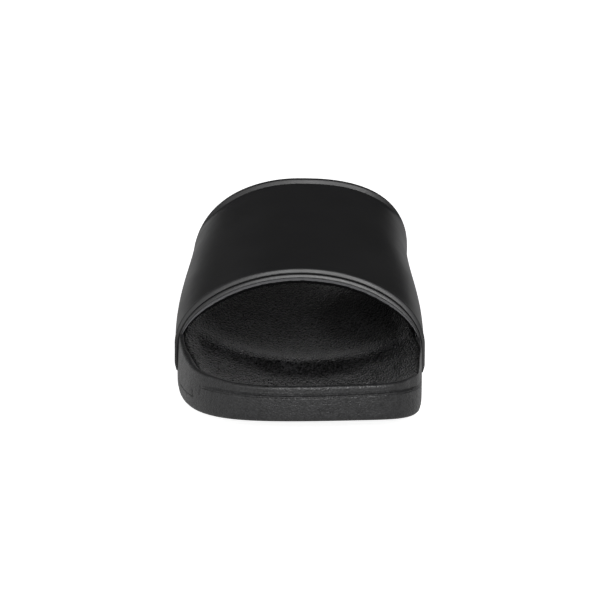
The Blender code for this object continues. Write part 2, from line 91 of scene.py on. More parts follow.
# Footbed
BED_MIN_THICKNESS = 3.6 * MM
BED_EDGE_DROP = 0.7 * MM
BED_EDGE_ROUND = 0.45 * MM
BED_GAP = 0.05 * MM
BED_EDGE_BLEND = 7 * MM
BED_END_BLEND = 13 * MM
DISH_SQUARENESS = 3.2
TOE_RIDGE_HEIGHT = 2.3 * MM
TOE_RIDGE_BACK = 54 * MM
TOE_RIDGE_ACROSS = 3 * MM
TOE_RIDGE_BOW = 50 * MM
TOE_RIDGE_FRONT_RUN = 11 * MM
TOE_RIDGE_REAR_RUN = 15 * MM
ARCH_BUMP = 4.2 * MM
ARCH_BUMP_RUN = 34 * MM

# Tread
TREAD_DEPTH = 1.7 * MM
TREAD_GROOVE = 2.4 * MM
TREAD_PITCH = 9.6 * MM
TREAD_WAVE = 3.4 * MM
TREAD_WAVE_LENGTH = 22 * MM
TREAD_BORDER = 8.5 * MM

# Strap, measured on its outer face
STRAP_FOOT_HEIGHT = 5.7 * MM
STRAP_PROUD = 0.9 * MM
STRAP_FRONT_RISE = 51.4 * MM
STRAP_REAR_RISE = 75.0 * MM
STRAP_LATERAL_HOLLOW = 0.95 * MM
STRAP_MEDIAL_HOLLOW = 2.1 * MM
STRAP_CORNER = 4.0 * MM
STRAP_UPRIGHT_SHARE = 0.12
COVER_TOP_THICKNESS = 1.6 * MM
COVER_END_THICKNESS = 1.2 * MM
LINING_TOP_THICKNESS = 3.5 * MM
LINING_END_THICKNESS = 1.0 * MM
PADDING_SHARE = 0.46
KNIT_SHARE = 0.27
LAYER_GAP = 0.08 * MM
PADDING_PROUD = 0.15 * MM
KNIT_PROUD = 0.15 * MM
BACKING_PROUD = 0.1 * MM
FOOT_TAPER = 0.6 * MM
FOOT_TAPER_RUN = 8 * MM

# Edges of the strap's layers. A squareness of 2 is a round roll, a higher one is fuller.
ROLL_SQUARENESS = 3.8
KNIT_SQUARENESS = 3.0
FRONT_EDGE_SLANT = 0.7
FRONT_BEAD = 0.35 * MM
FRONT_CREASE = 0.08 * MM
FRONT_FLANK_TILT = 60
REAR_BEAD = 0.75 * MM
REAR_CREASE = 1.15 * MM
REAR_FLANK_TILT = 34
KNIT_RAGGED = 0.4 * MM
KNIT_RAGGED_STEP = 1.6 * MM
KNIT_EDGE_RUN = 260 * MM

CLEARANCE = 0.3 * MM

# Reaches of the roundings on the sole and footbed. The last goes halfway along the sides that it joins.
FINE_ROUND = 0.15 * MM
SOFT_ROUND = 0.2 * MM
WHOLE_ROUND = 9 * MM

# How finely the curves are read and the meshes are cut
DENSE_STEPS = 4000
OUTLINE_STATIONS = 760
SIDE_SPACING = 1.1 * MM
BED_COLUMNS = 96
BED_UNDERSIDE_COLUMNS = 8
SOLE_COLUMNS = 10
STRAP_ROWS = 380
STRAP_COLUMNS = 44
POCKET_ROWS = 40
POCKET_COLUMNS = 26
POCKET_REACH = 12 * MM
POCKET_TOP_SHARE = 0.22

# The outline, one row for each cross section. `along` is a share of SOLE_LENGTH from the toe tip;
# `lateral` and `medial` are shares of half the width that the row names.
Outline = namedtuple("Outline", "along lateral medial width")
OUTLINE = (
    Outline(0.0100, 0.414, 0.497, BALL_WIDTH),
    Outline(0.0240, 0.549, 0.750, BALL_WIDTH),
    Outline(0.0480, 0.676, 0.858, BALL_WIDTH),
    Outline(0.0950, 0.816, 0.923, BALL_WIDTH),
    Outline(0.1700, 0.926, 0.956, BALL_WIDTH),
    Outline(0.2650, 0.990, 0.985, BALL_WIDTH),
    Outline(0.3520, 1.006, 0.985, BALL_WIDTH),
    Outline(0.4580, 0.970, 0.912, BALL_WIDTH),
    Outline(0.5810, 1.038, 0.962, WAIST_WIDTH),
    Outline(0.7040, 1.050, 1.022, HEEL_WIDTH),
    Outline(0.8270, 0.983, 1.024, HEEL_WIDTH),
    Outline(0.9080, 0.868, 0.930, HEEL_WIDTH),
    Outline(0.9580, 0.690, 0.762, HEEL_WIDTH),
    Outline(0.9880, 0.412, 0.484, HEEL_WIDTH),
)
TOE_TIP_ACROSS = -0.02
HEEL_TIP_ACROSS = 0.035

# Heights along the sole. The rim columns are shares of HEEL_RIM_HEIGHT, `bed` is the footbed's
# middle line and a share of HEEL_BED_HEIGHT.
Profile = namedtuple("Profile", "along rim_lateral rim_medial bed")
PROFILE = (
    Profile(0.000, 0.642, 0.642, 0.900),
    Profile(0.055, 0.630, 0.622, 0.772),
    Profile(0.110, 0.600, 0.596, 0.745),
    Profile(0.165, 0.594, 0.588, 0.735),
    Profile(0.245, 0.628, 0.610, 0.700),
    Profile(0.350, 0.680, 0.670, 0.685),
    Profile(0.500, 0.745, 0.800, 0.830),
    Profile(0.640, 0.830, 0.890, 0.960),
    Profile(0.780, 0.925, 0.945, 0.990),
    Profile(0.900, 0.985, 0.990, 1.000),
    Profile(1.000, 1.000, 1.000, 1.040),
)

# How far the edge of the footbed lies inside the outline, as shares of RIM_WIDTH
Rim = namedtuple("Rim", "along lateral medial")
RIM = (
    Rim(0.000, 0.84, 0.84),
    Rim(0.035, 0.86, 0.84),
    Rim(0.053, 0.82, 0.70),
    Rim(0.070, 0.84, 0.36),
    Rim(0.120, 0.92, 0.26),
    Rim(0.165, 0.98, 0.26),
    Rim(0.235, 0.66, 0.28),
    Rim(0.275, 0.65, 0.60),
    Rim(0.320, 0.66, 0.66),
    Rim(0.620, 0.68, 0.66),
    Rim(0.900, 0.80, 0.80),
    Rim(1.000, 0.94, 0.94),
)

# The strap's two edges on each side. `foot` is where the edge meets the sole, a share of SOLE_LENGTH.
# `spread` is how far the wall leans out from its foot up to `spring`, where it starts to bend over
# the instep. `fullness` is how square that bend is (2 is an ellipse).
StrapEdge = namedtuple("StrapEdge", "foot spread spring fullness")
LATERAL_FRONT = StrapEdge(0.2748, -0.1 * MM, 18 * MM, 1.95)
LATERAL_REAR = StrapEdge(0.6103, 3.0 * MM, 34 * MM, 2.10)
MEDIAL_FRONT = StrapEdge(0.2628, 0.1 * MM, 18 * MM, 1.99)
MEDIAL_REAR = StrapEdge(0.6000, 6.1 * MM, 40 * MM, 2.44)

# Stretches and places along the sole, as shares of SOLE_LENGTH
Stretch = namedtuple("Stretch", "start end")
STRAP_TOP = Stretch(0.2886, 0.5786)
WAIST = Stretch(0.42, 0.70)
FORE_TREAD = Stretch(0.055, 0.428)
HEEL_TREAD = Stretch(0.683, 0.931)
ARCH_MIDDLE = 0.545

# Soft troughs pressed in the lateral side near the toe, each from a start to an end. `back` is the
# distance from the toe tip, `up` the height above the tread's edge, and `half` half the trough's width.
Trough = namedtuple("Trough", "back_start up_start back_end up_end half depth")
TOE_TROUGHS = (
    Trough(21.8 * MM, 11.6 * MM, 22.0 * MM, 8.4 * MM, 0.50 * MM, 0.42 * MM),
    Trough(29.6 * MM, 8.6 * MM, 28.6 * MM, 6.4 * MM, 0.52 * MM, 0.45 * MM),
    Trough(28.6 * MM, 9.6 * MM, 22.8 * MM, 10.6 * MM, 0.80 * MM, 0.10 * MM),
)


def smooth(share):
    """0 to 1 with level ends."""
    share = np.clip(share, 0.0, 1.0)
    return share * share * (3 - 2 * share)


def mix(a, b, share):
    return a + (b - a) * share


def read_table(table, column, along):
    """A column of a table at any place along the sole, on a smooth curve through its rows."""
    places = np.array([row.along for row in table])
    values = np.array([getattr(row, column) for row in table])
    slopes = np.gradient(values, places)
    along = np.clip(along, places[0], places[-1])
    i = np.clip(np.searchsorted(places, along) - 1, 0, len(places) - 2)
    step = places[i + 1] - places[i]
    t = (along - places[i]) / step
    return (
        values[i] * (1 + 2 * t) * (1 - t) ** 2
        + values[i + 1] * t * t * (3 - 2 * t)
        + step * t * (1 - t) * (slopes[i] * (1 - t) - slopes[i + 1] * t)
    )


def closed_curve(points, count):
    """`count` points of the smooth closed curve through these points."""
    chords = np.linalg.norm(np.roll(points, -1, axis=0) - points, axis=1)
    size = len(points)
    matrix = np.zeros((size, size))
    right = np.zeros((size, 2))
    for i in range(size):
        before, after = chords[i - 1], chords[i]
        matrix[i, i - 1] += before
        matrix[i, i] += 2 * (before + after)
        matrix[i, (i + 1) % size] += after
        right[i] = 6 * (
            (points[(i + 1) % size] - points[i]) / after
            - (points[i] - points[i - 1]) / before
        )
    bends = np.linalg.solve(matrix, right)
    starts = np.concatenate([[0.0], np.cumsum(chords)])
    places = np.linspace(0, starts[-1], count, endpoint=False)
    i = np.searchsorted(starts, places, side="right") - 1
    step = chords[i][:, None]
    t = (places - starts[i])[:, None]
    j = (i + 1) % size
    return (
        bends[i] * (step - t) ** 3 / (6 * step)
        + bends[j] * t**3 / (6 * step)
        + (points[i] / step - bends[i] * step / 6) * (step - t)
        + (points[j] / step - bends[j] * step / 6) * t
    )


def outline_curve(count):
    """The sole's outline from above as (across, back): toe tip, medial side, heel, lateral side."""
    medial = [(r.medial * r.width / 2, r.along * SOLE_LENGTH) for r in OUTLINE]
    lateral = [(-r.lateral * r.width / 2, r.along * SOLE_LENGTH) for r in OUTLINE]
    tip = (TOE_TIP_ACROSS * BALL_WIDTH / 2, 0.0)
    heel = (HEEL_TIP_ACROSS * HEEL_WIDTH / 2, SOLE_LENGTH)
    return closed_curve(np.array([tip, *medial, heel, *reversed(lateral)]), count)


DENSE_OUTLINE = outline_curve(DENSE_STEPS)
HEEL_TIP = int(np.argmax(DENSE_OUTLINE[:, 1]))
MEDIAL_HALF = DENSE_OUTLINE[: HEEL_TIP + 1]
LATERAL_HALF = np.vstack([DENSE_OUTLINE[HEEL_TIP:], DENSE_OUTLINE[:1]])[::-1]


def outline_stations(count):
    """Points of the outline, set closer together where it bends, and their outward directions.

    Point k and point count - k face each other across the sole.
    """
    ahead = np.roll(DENSE_OUTLINE, -1, axis=0) - DENSE_OUTLINE
    steps = np.linalg.norm(ahead, axis=1)
    heading = np.unwrap(np.arctan2(ahead[:, 1], ahead[:, 0]))
    bend_weight = 34 * MM
    weight = steps + bend_weight * np.abs(np.gradient(heading))
    stations = []
    for first, last in ((0, HEEL_TIP), (HEEL_TIP, len(DENSE_OUTLINE))):
        run = np.concatenate([[0.0], np.cumsum(weight[first:last])])
        wanted = np.linspace(0, run[-1], count // 2, endpoint=False)
        stations.append(first + np.interp(wanted, run, np.arange(len(run))))
    places = np.concatenate(stations)
    index = np.arange(len(DENSE_OUTLINE) + 1)
    looped = np.vstack([DENSE_OUTLINE, DENSE_OUTLINE[:1]])
    headings = np.vstack([ahead, ahead[:1]])
    points = np.stack([np.interp(places, index, looped[:, i]) for i in (0, 1)], 1)
    around = np.stack([np.interp(places, index, headings[:, i]) for i in (0, 1)], 1)
    around /= np.linalg.norm(around, axis=1)[:, None]
    return points, np.stack([around[:, 1], -around[:, 0]], 1)


def across_at(back, side):
    """How far the outline lies from the middle line at this distance from the toe tip."""
    half = MEDIAL_HALF if side > 0 else LATERAL_HALF
    return np.interp(back, half[:, 1], half[:, 0])


def toe_spring(back):
    """How far the toe curves up from the floor."""
    return TOE_SPRING * np.clip(1 - back / SPRING_RUN, 0, 1) ** 1.6


def bottom_height(back):
    """Height of the tread face: toe spring, flat forefoot, raised waist, flat heel, heel bevel."""
    waist = np.clip((back / SOLE_LENGTH - WAIST.start) / (WAIST.end - WAIST.start), 0, 1)
    rise = WAIST_RISE * np.sin(np.pi * waist) ** 2
    bevel = HEEL_BEVEL * np.clip(1 - (SOLE_LENGTH - back) / HEEL_BEVEL_RUN, 0, 1) ** 2
    return toe_spring(back) + rise + bevel


def rim_height(back, across):
    """Height of the rim's top, which differs between the two sides."""
    along = back / SOLE_LENGTH
    lateral = read_table(PROFILE, "rim_lateral", along)
    medial = read_table(PROFILE, "rim_medial", along)
    side = smooth((across / (BALL_WIDTH / 2) + 1) / 2)
    return HEEL_RIM_HEIGHT * mix(lateral, medial, side)


def bed_line(back):
    """Height of the footbed along its middle."""
    return HEEL_BED_HEIGHT * read_table(PROFILE, "bed", back / SOLE_LENGTH)


def seat_height(back):
    """Height of the sole's inner floor, on which the footbed lies."""
    return bed_line(back) - BED_MIN_THICKNESS


def rim_width(points):
    """Distance from the outline to the footbed's edge at each point of the outline."""
    along = points[:, 1] / SOLE_LENGTH
    lateral, medial = read_table(RIM, "lateral", along), read_table(RIM, "medial", along)
    return RIM_WIDTH * np.where(points[:, 0] < 0, lateral, medial)


def relief_share(points, lateral_end, medial_end, fade):
    """1 in front of the place where a relief of the side ends, 0 behind it."""
    end = np.where(points[:, 0] < 0, lateral_end, medial_end)
    return smooth((end - points[:, 1]) / fade)


def ring(points, outward, inset, height):
    """Corners of one loop round the sole, inset from the outline, in the object's frame."""
    moved = points - outward * np.reshape(inset, (-1, 1))
    return np.stack([moved[:, 0], moved[:, 1] - SOLE_LENGTH / 2, height], 1)


def soften(keys, steps=4):
    """Rounds the corners of a stack of levels. Each key is (inset, height, reach of the rounding)."""
    count = max(np.size(value) for key in keys for value in key[:2])
    path = [np.stack([np.broadcast_to(key[0], count), np.broadcast_to(key[1], count)]) for key in keys]
    softened = [path[0]]
    for before, here, after, key in zip(path, path[1:], path[2:], keys[1:]):
        legs = [before - here, after - here]
        sizes = [np.maximum(np.linalg.norm(leg, axis=0), 1e-9) for leg in legs]
        start, end = (here + leg * np.minimum(key[2] / size, 0.49) for leg, size in zip(legs, sizes))
        for t in np.linspace(0, 1, steps):
            softened.append((1 - t) ** 2 * start + 2 * t * (1 - t) * here + t * t * end)
    softened.append(path[-1])
    return softened


def fill_in(levels, spacing):
    """Adds levels between neighbours that lie further apart than `spacing`."""
    filled = [levels[0]]
    for low, high in zip(levels, levels[1:]):
        gap = np.linalg.norm(high - low, axis=0).max()
        steps = max(1, math.ceil(gap / spacing))
        filled += [mix(low, high, share) for share in np.linspace(0, 1, steps + 1)[1:]]
    return filled


def band_faces(rows, closed=True):
    """Four-sided faces between neighbouring rows of corner numbers."""
    here = rows if closed else rows[:, :-1]
    ahead = np.roll(rows, -1, axis=1) if closed else rows[:, 1:]
    return np.stack([here[:-1], ahead[:-1], ahead[1:], here[1:]], -1).reshape(-1, 4).tolist()


def cap_faces(loop, numbers, columns, height, first_new):
    """Closes a loop round the sole with strips from side to side: (new corners, faces).

    `height` gives a new corner's height from its across, its back and its distance from the edge.
    """
    half = len(loop) // 2
    medial, lateral = loop[1:half], loop[:half:-1]
    share = np.linspace(0, 1, columns + 1)[1:-1]
    inner = medial[:, None] + (lateral - medial)[:, None] * share[None, :, None]
    span = np.linalg.norm(lateral - medial, axis=1)[:, None]
    from_edge = np.minimum(share, 1 - share)[None] * span
    inner[..., 2] = height(inner[..., 0], inner[..., 1] + SOLE_LENGTH / 2, from_edge)
    inner_numbers = first_new + np.arange(inner.shape[0] * inner.shape[1]).reshape(inner.shape[:2])
    lines = np.hstack([numbers[1:half, None], inner_numbers, numbers[:half:-1, None]])
    faces = band_faces(lines, closed=False)
    for tip, line in ((numbers[0], lines[0]), (numbers[half], lines[-1])):
        faces += [(tip, a, b) for a, b in zip(line.tolist(), line[1:].tolist())]
    return inner.reshape(-1, 3), faces


def closed_body(loops, bottom, top):
    """Corners and faces of a body that is built from loops round the sole and closed at both ends.
    `bottom` and `top` are (columns from side to side, function for the heights between)."""
    numbers = np.arange(len(loops) * OUTLINE_STATIONS).reshape(len(loops), -1)
    corners = np.vstack(loops)
    faces = band_faces(numbers)
    for row, (columns, height) in ((0, bottom), (-1, top)):
        inner, more = cap_faces(loops[row], numbers[row], columns, height, len(corners))
        corners = np.vstack([corners, inner])
        faces += more
    return corners, faces


def make_piece(name, corners, faces, look, flat_angle=40):
    """A shaded object from corners and faces, with the faces turned outward."""
    data = bpy.data.meshes.new(name)
    data.from_pydata(np.asarray(corners).tolist(), [], faces)
    data.validate()
    item = bpy.data.objects.new(name, data)
    bpy.context.scene.collection.objects.link(item)
    turn_outward(data)
    data.shade_smooth()
    data.set_sharp_from_angle(angle=math.radians(flat_angle))
    data.materials.append(look)
    return item


def turn_outward(data):
    mesh = bmesh.new()
    mesh.from_mesh(data)
    bmesh.ops.recalc_face_normals(mesh, faces=mesh.faces[:])
    mesh.to_mesh(data)
    mesh.free()


def make_tube(name, corners, look, flat_angle=40):
    """A piece from rows of corners. Each row is a closed loop, and the first and last row are its ends."""
    numbers = np.arange(corners.shape[0] * corners.shape[1]).reshape(corners.shape[:2])
    faces = band_faces(numbers) + [numbers[0].tolist(), numbers[-1].tolist()]
    return make_piece(name, corners.reshape(-1, 3), faces, look, flat_angle)


def trough_depth(points, up):
    """How far the troughs near the toe press the lateral side in, `up` above the tread's edge."""
    depth = np.zeros(len(points))
    for trough in TOE_TROUGHS:
        start = np.array([trough.back_start, trough.up_start])
        run = np.array([trough.back_end, trough.up_end]) - start
        place = np.stack([points[:, 1], np.broadcast_to(up, len(points))], 1) - start
        along = np.clip(place @ run / (run @ run), 0, 1)
        away = np.linalg.norm(place - along[:, None] * run, axis=1)
        depth += trough.depth * np.exp(-((away / trough.half) ** 2))
    return np.where(points[:, 0] < 0, depth, 0.0)


def sole_levels(points):
    """The sole's side from the tread over the rim to the inner floor, as (inset, height) levels."""
    back = points[:, 1]
    base = bottom_height(back)
    rim = rim_height(back, points[:, 0])
    bumper = relief_share(points, BUMPER_LATERAL_END, BUMPER_MEDIAL_END, BUMPER_FADE)
    no_line = relief_share(points, LINE_LATERAL_START, LINE_MEDIAL_START, LINE_FADE)
    width = rim_width(points)
    drop = RIM_DROP_SHARE * width
    upright = TOE_UPRIGHT_SHARE * smooth((TOE_UPRIGHT_END - back) / TOE_UPRIGHT_FADE)
    lean = RIM_LEAN_SHARE * width * (1 - upright)
    wall = rim - base
    ledge = BUMPER_LEDGE * bumper
    groove = LINE_DEPTH * (1 - no_line)
    line = toe_spring(back) + LINE_HEIGHT - base
    half_line = LINE_WIDTH / 2
    upper = lean + np.minimum(ledge, 0.4 * (width - lean))
    left = width - upper
    corner_lift = BUMPER_CORNER_LIFT * smooth(np.abs(points[:, 0]) / (0.42 * BALL_WIDTH))
    edge = BUMPER_HEIGHT - BUMPER_LEDGE + corner_lift
    ledge_top = edge + BUMPER_CHAMFER
    half_groove = BUMPER_GROOVE_WIDTH / 2
    cut = BUMPER_GROOVE_DEPTH * relief_share(points, BUMPER_LATERAL_END, BUMPER_MEDIAL_END, 1.5 * MM)
    step_in = upper - lean

    def leaning(height):
        return lean * np.clip((height - line) / (wall - line), 0, 1)

    over_ledge = leaning(ledge_top) + step_in
    keys = [
        (3 * BOTTOM_EDGE_RADIUS, 0.0, 0.0),
        (0.0, 0.0, BOTTOM_EDGE_RADIUS),
        (0.0, line - half_line, SOFT_ROUND),
        (groove, line, SOFT_ROUND),
        (0.0, line + half_line, 0.25 * MM),
        (leaning(edge - half_groove), edge - half_groove, FINE_ROUND),
        (leaning(edge) + cut, edge, FINE_ROUND),
        (leaning(edge + half_groove) + 0.2 * step_in, edge + half_groove, SOFT_ROUND),
        (leaning(ledge_top) + 0.85 * step_in, ledge_top - half_groove, FINE_ROUND),
        (over_ledge + 0.5 * cut, ledge_top, FINE_ROUND),
        (over_ledge, ledge_top + half_groove, 0.3 * MM),
        (upper, wall - RIM_SHOULDER, 0.5 * MM),
        (upper + 0.10 * left, wall - 0.38 * RIM_SHOULDER, WHOLE_ROUND),
        (upper + 0.38 * left, wall, WHOLE_ROUND),
        (upper + 0.72 * left, wall, WHOLE_ROUND),
        (width - 0.5 * drop, wall - 0.5 * drop, WHOLE_ROUND),
        (width, wall - 1.6 * drop, WHOLE_ROUND),
        (width, seat_height(back) - base, 0.0),
    ]
    levels = fill_in(soften(keys), SIDE_SPACING)
    shaped = []
    for inset, up in levels:
        on_side = inset < width - 0.5 * MM
        shaped.append((inset + np.where(on_side, trough_depth(points, up), 0.0), base + up))
    return shaped


def cut_out(item, cutters):
    """Cuts the cutters out of the item, keeps the result as its mesh and removes the cutters."""
    for cutter in cutters:
        cut = item.modifiers.new(cutter.name, "BOOLEAN")
        cut.operation = "DIFFERENCE"
        cut.solver = "EXACT"
        cut.object = cutter
    bpy.context.view_layer.update()
    result = bpy.data.meshes.new_from_object(item.evaluated_get(bpy.context.evaluated_depsgraph_get()))
    item.modifiers.clear()
    item.data = result
    for cutter in cutters:
        bpy.data.objects.remove(cutter, do_unlink=True)


def tread_bar(back, look):
    """One wavy groove across the sole, as a bar that reaches from below the tread into it."""
    start, end = across_at(back, -1) + TREAD_BORDER, across_at(back, 1) - TREAD_BORDER
    steps = max(8, round((end - start) / (TREAD_WAVE_LENGTH / 14)))
    across = np.linspace(start, end, steps + 1)
    place = back + TREAD_WAVE * np.cos(2 * np.pi * across / TREAD_WAVE_LENGTH)
    half = TREAD_GROOVE / 2
    base = bottom_height(place)
    section = ((-1.15, -1.0), (1.15, -1.0), (0.95, 0.75), (0.7, 1.0), (-0.7, 1.0), (-0.95, 0.75))
    rows = [
        np.stack([across, place - SOLE_LENGTH / 2 + wide * half, base + high * TREAD_DEPTH], 1)
        for wide, high in section
    ]
    return make_tube("tread_groove", np.stack(rows, 1), look)


def tread_bars(look):
    bars = []
    for zone in (FORE_TREAD, HEEL_TREAD):
        start, length = zone.start * SOLE_LENGTH, (zone.end - zone.start) * SOLE_LENGTH
        count = max(1, int(length / TREAD_PITCH))
        bars += [tread_bar(start + (i + 0.5) * length / count, look) for i in range(count)]
    return bars


def make_sole(look):
    points, outward = outline_stations(OUTLINE_STATIONS)
    loops = [ring(points, outward, inset, height) for inset, height in sole_levels(points)]

    def on_tread(across, back, from_edge):
        return bottom_height(back)

    def on_seat(across, back, from_edge):
        return seat_height(back)

    corners, faces = closed_body(loops, (SOLE_COLUMNS, on_tread), (SOLE_COLUMNS, on_seat))
    sole = make_piece("sole_skin", corners, faces, look)
    pockets = [
        make_pocket("lateral_pocket", look, 0.0, POCKET_TOP_SHARE),
        make_pocket("medial_pocket", look, 1.0, 1.0 - POCKET_TOP_SHARE),
    ]
    cut_out(sole, pockets + tread_bars(look))
    return sole


def bed_height(across, back, from_edge):
    """Height of the footbed's face: a dish with a toe ridge, a ball hollow, an arch and a heel cup."""
    left, right = across_at(back, -1), across_at(back, 1)
    middle, reach = (left + right) / 2, (right - left) / 2
    offset = (across - middle) / np.maximum(reach, 1 * MM)
    edge = rim_height(back, across) - BED_EDGE_DROP
    line = bed_line(back)
    dish = line + (edge - line) * np.clip(np.abs(offset), 0, 1) ** DISH_SQUARENESS
    dish = mix(edge, dish, smooth(from_edge / BED_EDGE_BLEND) ** 0.6)
    ridge_at = TOE_RIDGE_BACK + TOE_RIDGE_BOW * ((across - TOE_RIDGE_ACROSS) / (BALL_WIDTH / 2)) ** 2
    off_ridge = back - ridge_at
    run = np.where(off_ridge < 0, TOE_RIDGE_FRONT_RUN, TOE_RIDGE_REAR_RUN)
    ridge = TOE_RIDGE_HEIGHT * np.exp(-((off_ridge / run) ** 2)) * (1 - smooth(np.abs(offset)) ** 3)
    arch_off = (back - ARCH_MIDDLE * SOLE_LENGTH) / ARCH_BUMP_RUN
    arch_across = smooth((offset + 0.1) / 0.8) * (1 - smooth((offset - 0.75) / 0.25))
    arch = ARCH_BUMP * np.exp(-(arch_off**2)) * arch_across
    from_end = np.minimum(back, SOLE_LENGTH - back)
    return mix(edge, dish, smooth(from_end / BED_END_BLEND)) + ridge + arch


def make_footbed(look):
    points, outward = outline_stations(OUTLINE_STATIONS)
    back = points[:, 1]
    width = rim_width(points) + BED_GAP
    edge = rim_height(back, points[:, 0]) - BED_EDGE_DROP
    under = seat_height(back) + CLEARANCE
    keys = [
        (width + 2 * BED_EDGE_ROUND, under, 0.0),
        (width, under, BED_EDGE_ROUND),
        (width, edge - 0.8 * BED_EDGE_ROUND, WHOLE_ROUND),
        (width + 0.25 * BED_EDGE_ROUND, edge - 0.15 * BED_EDGE_ROUND, WHOLE_ROUND),
        (width + 1.6 * BED_EDGE_ROUND, edge, 0.0),
    ]
    loops = [ring(points, outward, inset, height) for inset, height in soften(keys, 6)]

    def on_seat(across, back, from_edge):
        return seat_height(back) + CLEARANCE

    corners, faces = closed_body(loops, (BED_UNDERSIDE_COLUMNS, on_seat), (BED_COLUMNS, bed_height))
    return make_piece("footbed_foam", corners, faces, look)


def strap_point(u, v):
    """A point of the strap's outer face. `u` runs from the lateral foot (0) over the instep to the
    medial foot (1), `v` from the front edge (0) to the rear edge (1)."""
    upright = STRAP_UPRIGHT_SHARE
    lateral = u < 0.5

    def edge_value(column):
        on_lateral = mix(getattr(LATERAL_FRONT, column), getattr(LATERAL_REAR, column), v)
        on_medial = mix(getattr(MEDIAL_FRONT, column), getattr(MEDIAL_REAR, column), v)
        return np.where(lateral, on_lateral, on_medial)

    from_foot = np.minimum(u, 1 - u)
    climb = np.clip(from_foot / upright, 0, 1)
    angle = np.clip((from_foot - upright) / (0.5 - upright), 0, 1) * np.pi / 2
    spring, fullness, spread = (edge_value(c) for c in ("spring", "fullness", "spread"))
    foot_back = edge_value("foot") * SOLE_LENGTH
    rise = mix(STRAP_FRONT_RISE, STRAP_REAR_RISE, v)
    outline = np.where(lateral, -across_at(foot_back, -1), across_at(foot_back, 1))
    foot_across = outline + STRAP_PROUD
    hollow = np.where(lateral, STRAP_LATERAL_HOLLOW, STRAP_MEDIAL_HOLLOW) * 4 * v * (1 - v)
    half = foot_across + spread - hollow
    arch_across = half * np.cos(angle) ** (2 / fullness)
    arch_height = spring + (rise - spring) * np.sin(angle) ** (2 / fullness)
    on_foot = from_foot < upright
    across = np.where(on_foot, mix(foot_across, half, smooth(climb)), arch_across)
    height = np.where(on_foot, mix(STRAP_FOOT_HEIGHT, spring, climb), arch_height)
    top_back = mix(STRAP_TOP.start, STRAP_TOP.end, v) * SOLE_LENGTH
    level = (height - STRAP_FOOT_HEIGHT) / (rise - STRAP_FOOT_HEIGHT)
    back = mix(foot_back, top_back, level)
    return np.stack([np.where(lateral, -across, across), back - SOLE_LENGTH / 2, height], -1)


def strap_normal(u, v):
    """The outward direction of the strap's outer face."""
    small = 1e-3
    along_u = strap_point(np.minimum(u + small, 1), v) - strap_point(np.maximum(u - small, 0), v)
    along_v = strap_point(u, v + small) - strap_point(u, v - small)
    normal = np.cross(along_u, along_v)
    return normal / np.linalg.norm(normal, axis=-1)[..., None]


def strap_rows(count):
    """Places across the strap at even distances, as a column."""
    u = np.linspace(0, 1, DENSE_STEPS + 1)
    line = strap_point(u, np.full(len(u), 0.5))
    run = np.concatenate([[0.0], np.cumsum(np.linalg.norm(np.diff(line, axis=0), axis=1))])
    return np.interp(np.linspace(0, run[-1], count), run, u)[:, None]


def layer_thickness(top, end, u):
    """Thickness of a layer at the place `u`: `end` at the strap's feet and `top` over the instep."""
    return mix(end, top, smooth((np.minimum(u, 1 - u) - 0.1) / 0.24))


def from_tip(u):
    """Distance from the tip of the nearer foot of the strap to the place `u`."""
    middle = np.full(np.shape(u), 0.5)
    return np.linalg.norm(strap_point(u, middle) - strap_point(np.round(u), middle), axis=-1)


def corner_inset(u):
    """How far the rounded corners of the strap's feet draw its edges in at the place `u`."""
    inside = np.maximum(0.0, STRAP_CORNER - from_tip(u))
    return STRAP_CORNER - np.sqrt(STRAP_CORNER**2 - inside**2)


def strap_length(u):
    """Distance from the strap's front edge to its rear edge at the place `u`."""
    front, rear = np.zeros(np.shape(u)), np.ones(np.shape(u))
    return np.linalg.norm(strap_point(u, rear) - strap_point(u, front), axis=-1)


def edge_profile(thickness, squareness, bead, crease, flank_tilt):
    """Half of a layer's section at one edge, as columns of (from the edge, depth): from the inner face
    round the roll, down the bead's flank and over a soft crease to the outer face."""
    radius = (thickness + bead) / 2
    middle = thickness - radius
    last = np.radians(flank_tilt)
    columns = [(4.2 * radius, thickness), (2.0 * radius, thickness)]
    for turn in (mix(1.5 * np.pi, last, s) for s in np.linspace(0, 1, 19)):
        wide, high = (np.sign(w) * np.abs(w) ** (2 / squareness) for w in (np.cos(turn), np.sin(turn)))
        columns.append((radius + radius * wide, middle - radius * high))
    edge, top = columns[-1]
    drop = np.maximum(0.0, crease - top)
    foot = edge + drop * np.tan(np.minimum(last, np.radians(84)))
    columns += [(mix(edge, foot, s), mix(top, top + drop, s)) for s in (0.1, 0.5, 0.9, 1.0)]
    for run, share in ((0.15, 1.0), (1.6, 0.8), (4.5, 0.25), (7.5, 0.0)):
        columns.append((foot + run * MM, crease * share + 0 * radius))
    return columns


def foot_taper(u):
    """How far the outer face of the strap sinks towards the tips of its feet."""
    return FOOT_TAPER * (1 - smooth(from_tip(u) / FOOT_TAPER_RUN))


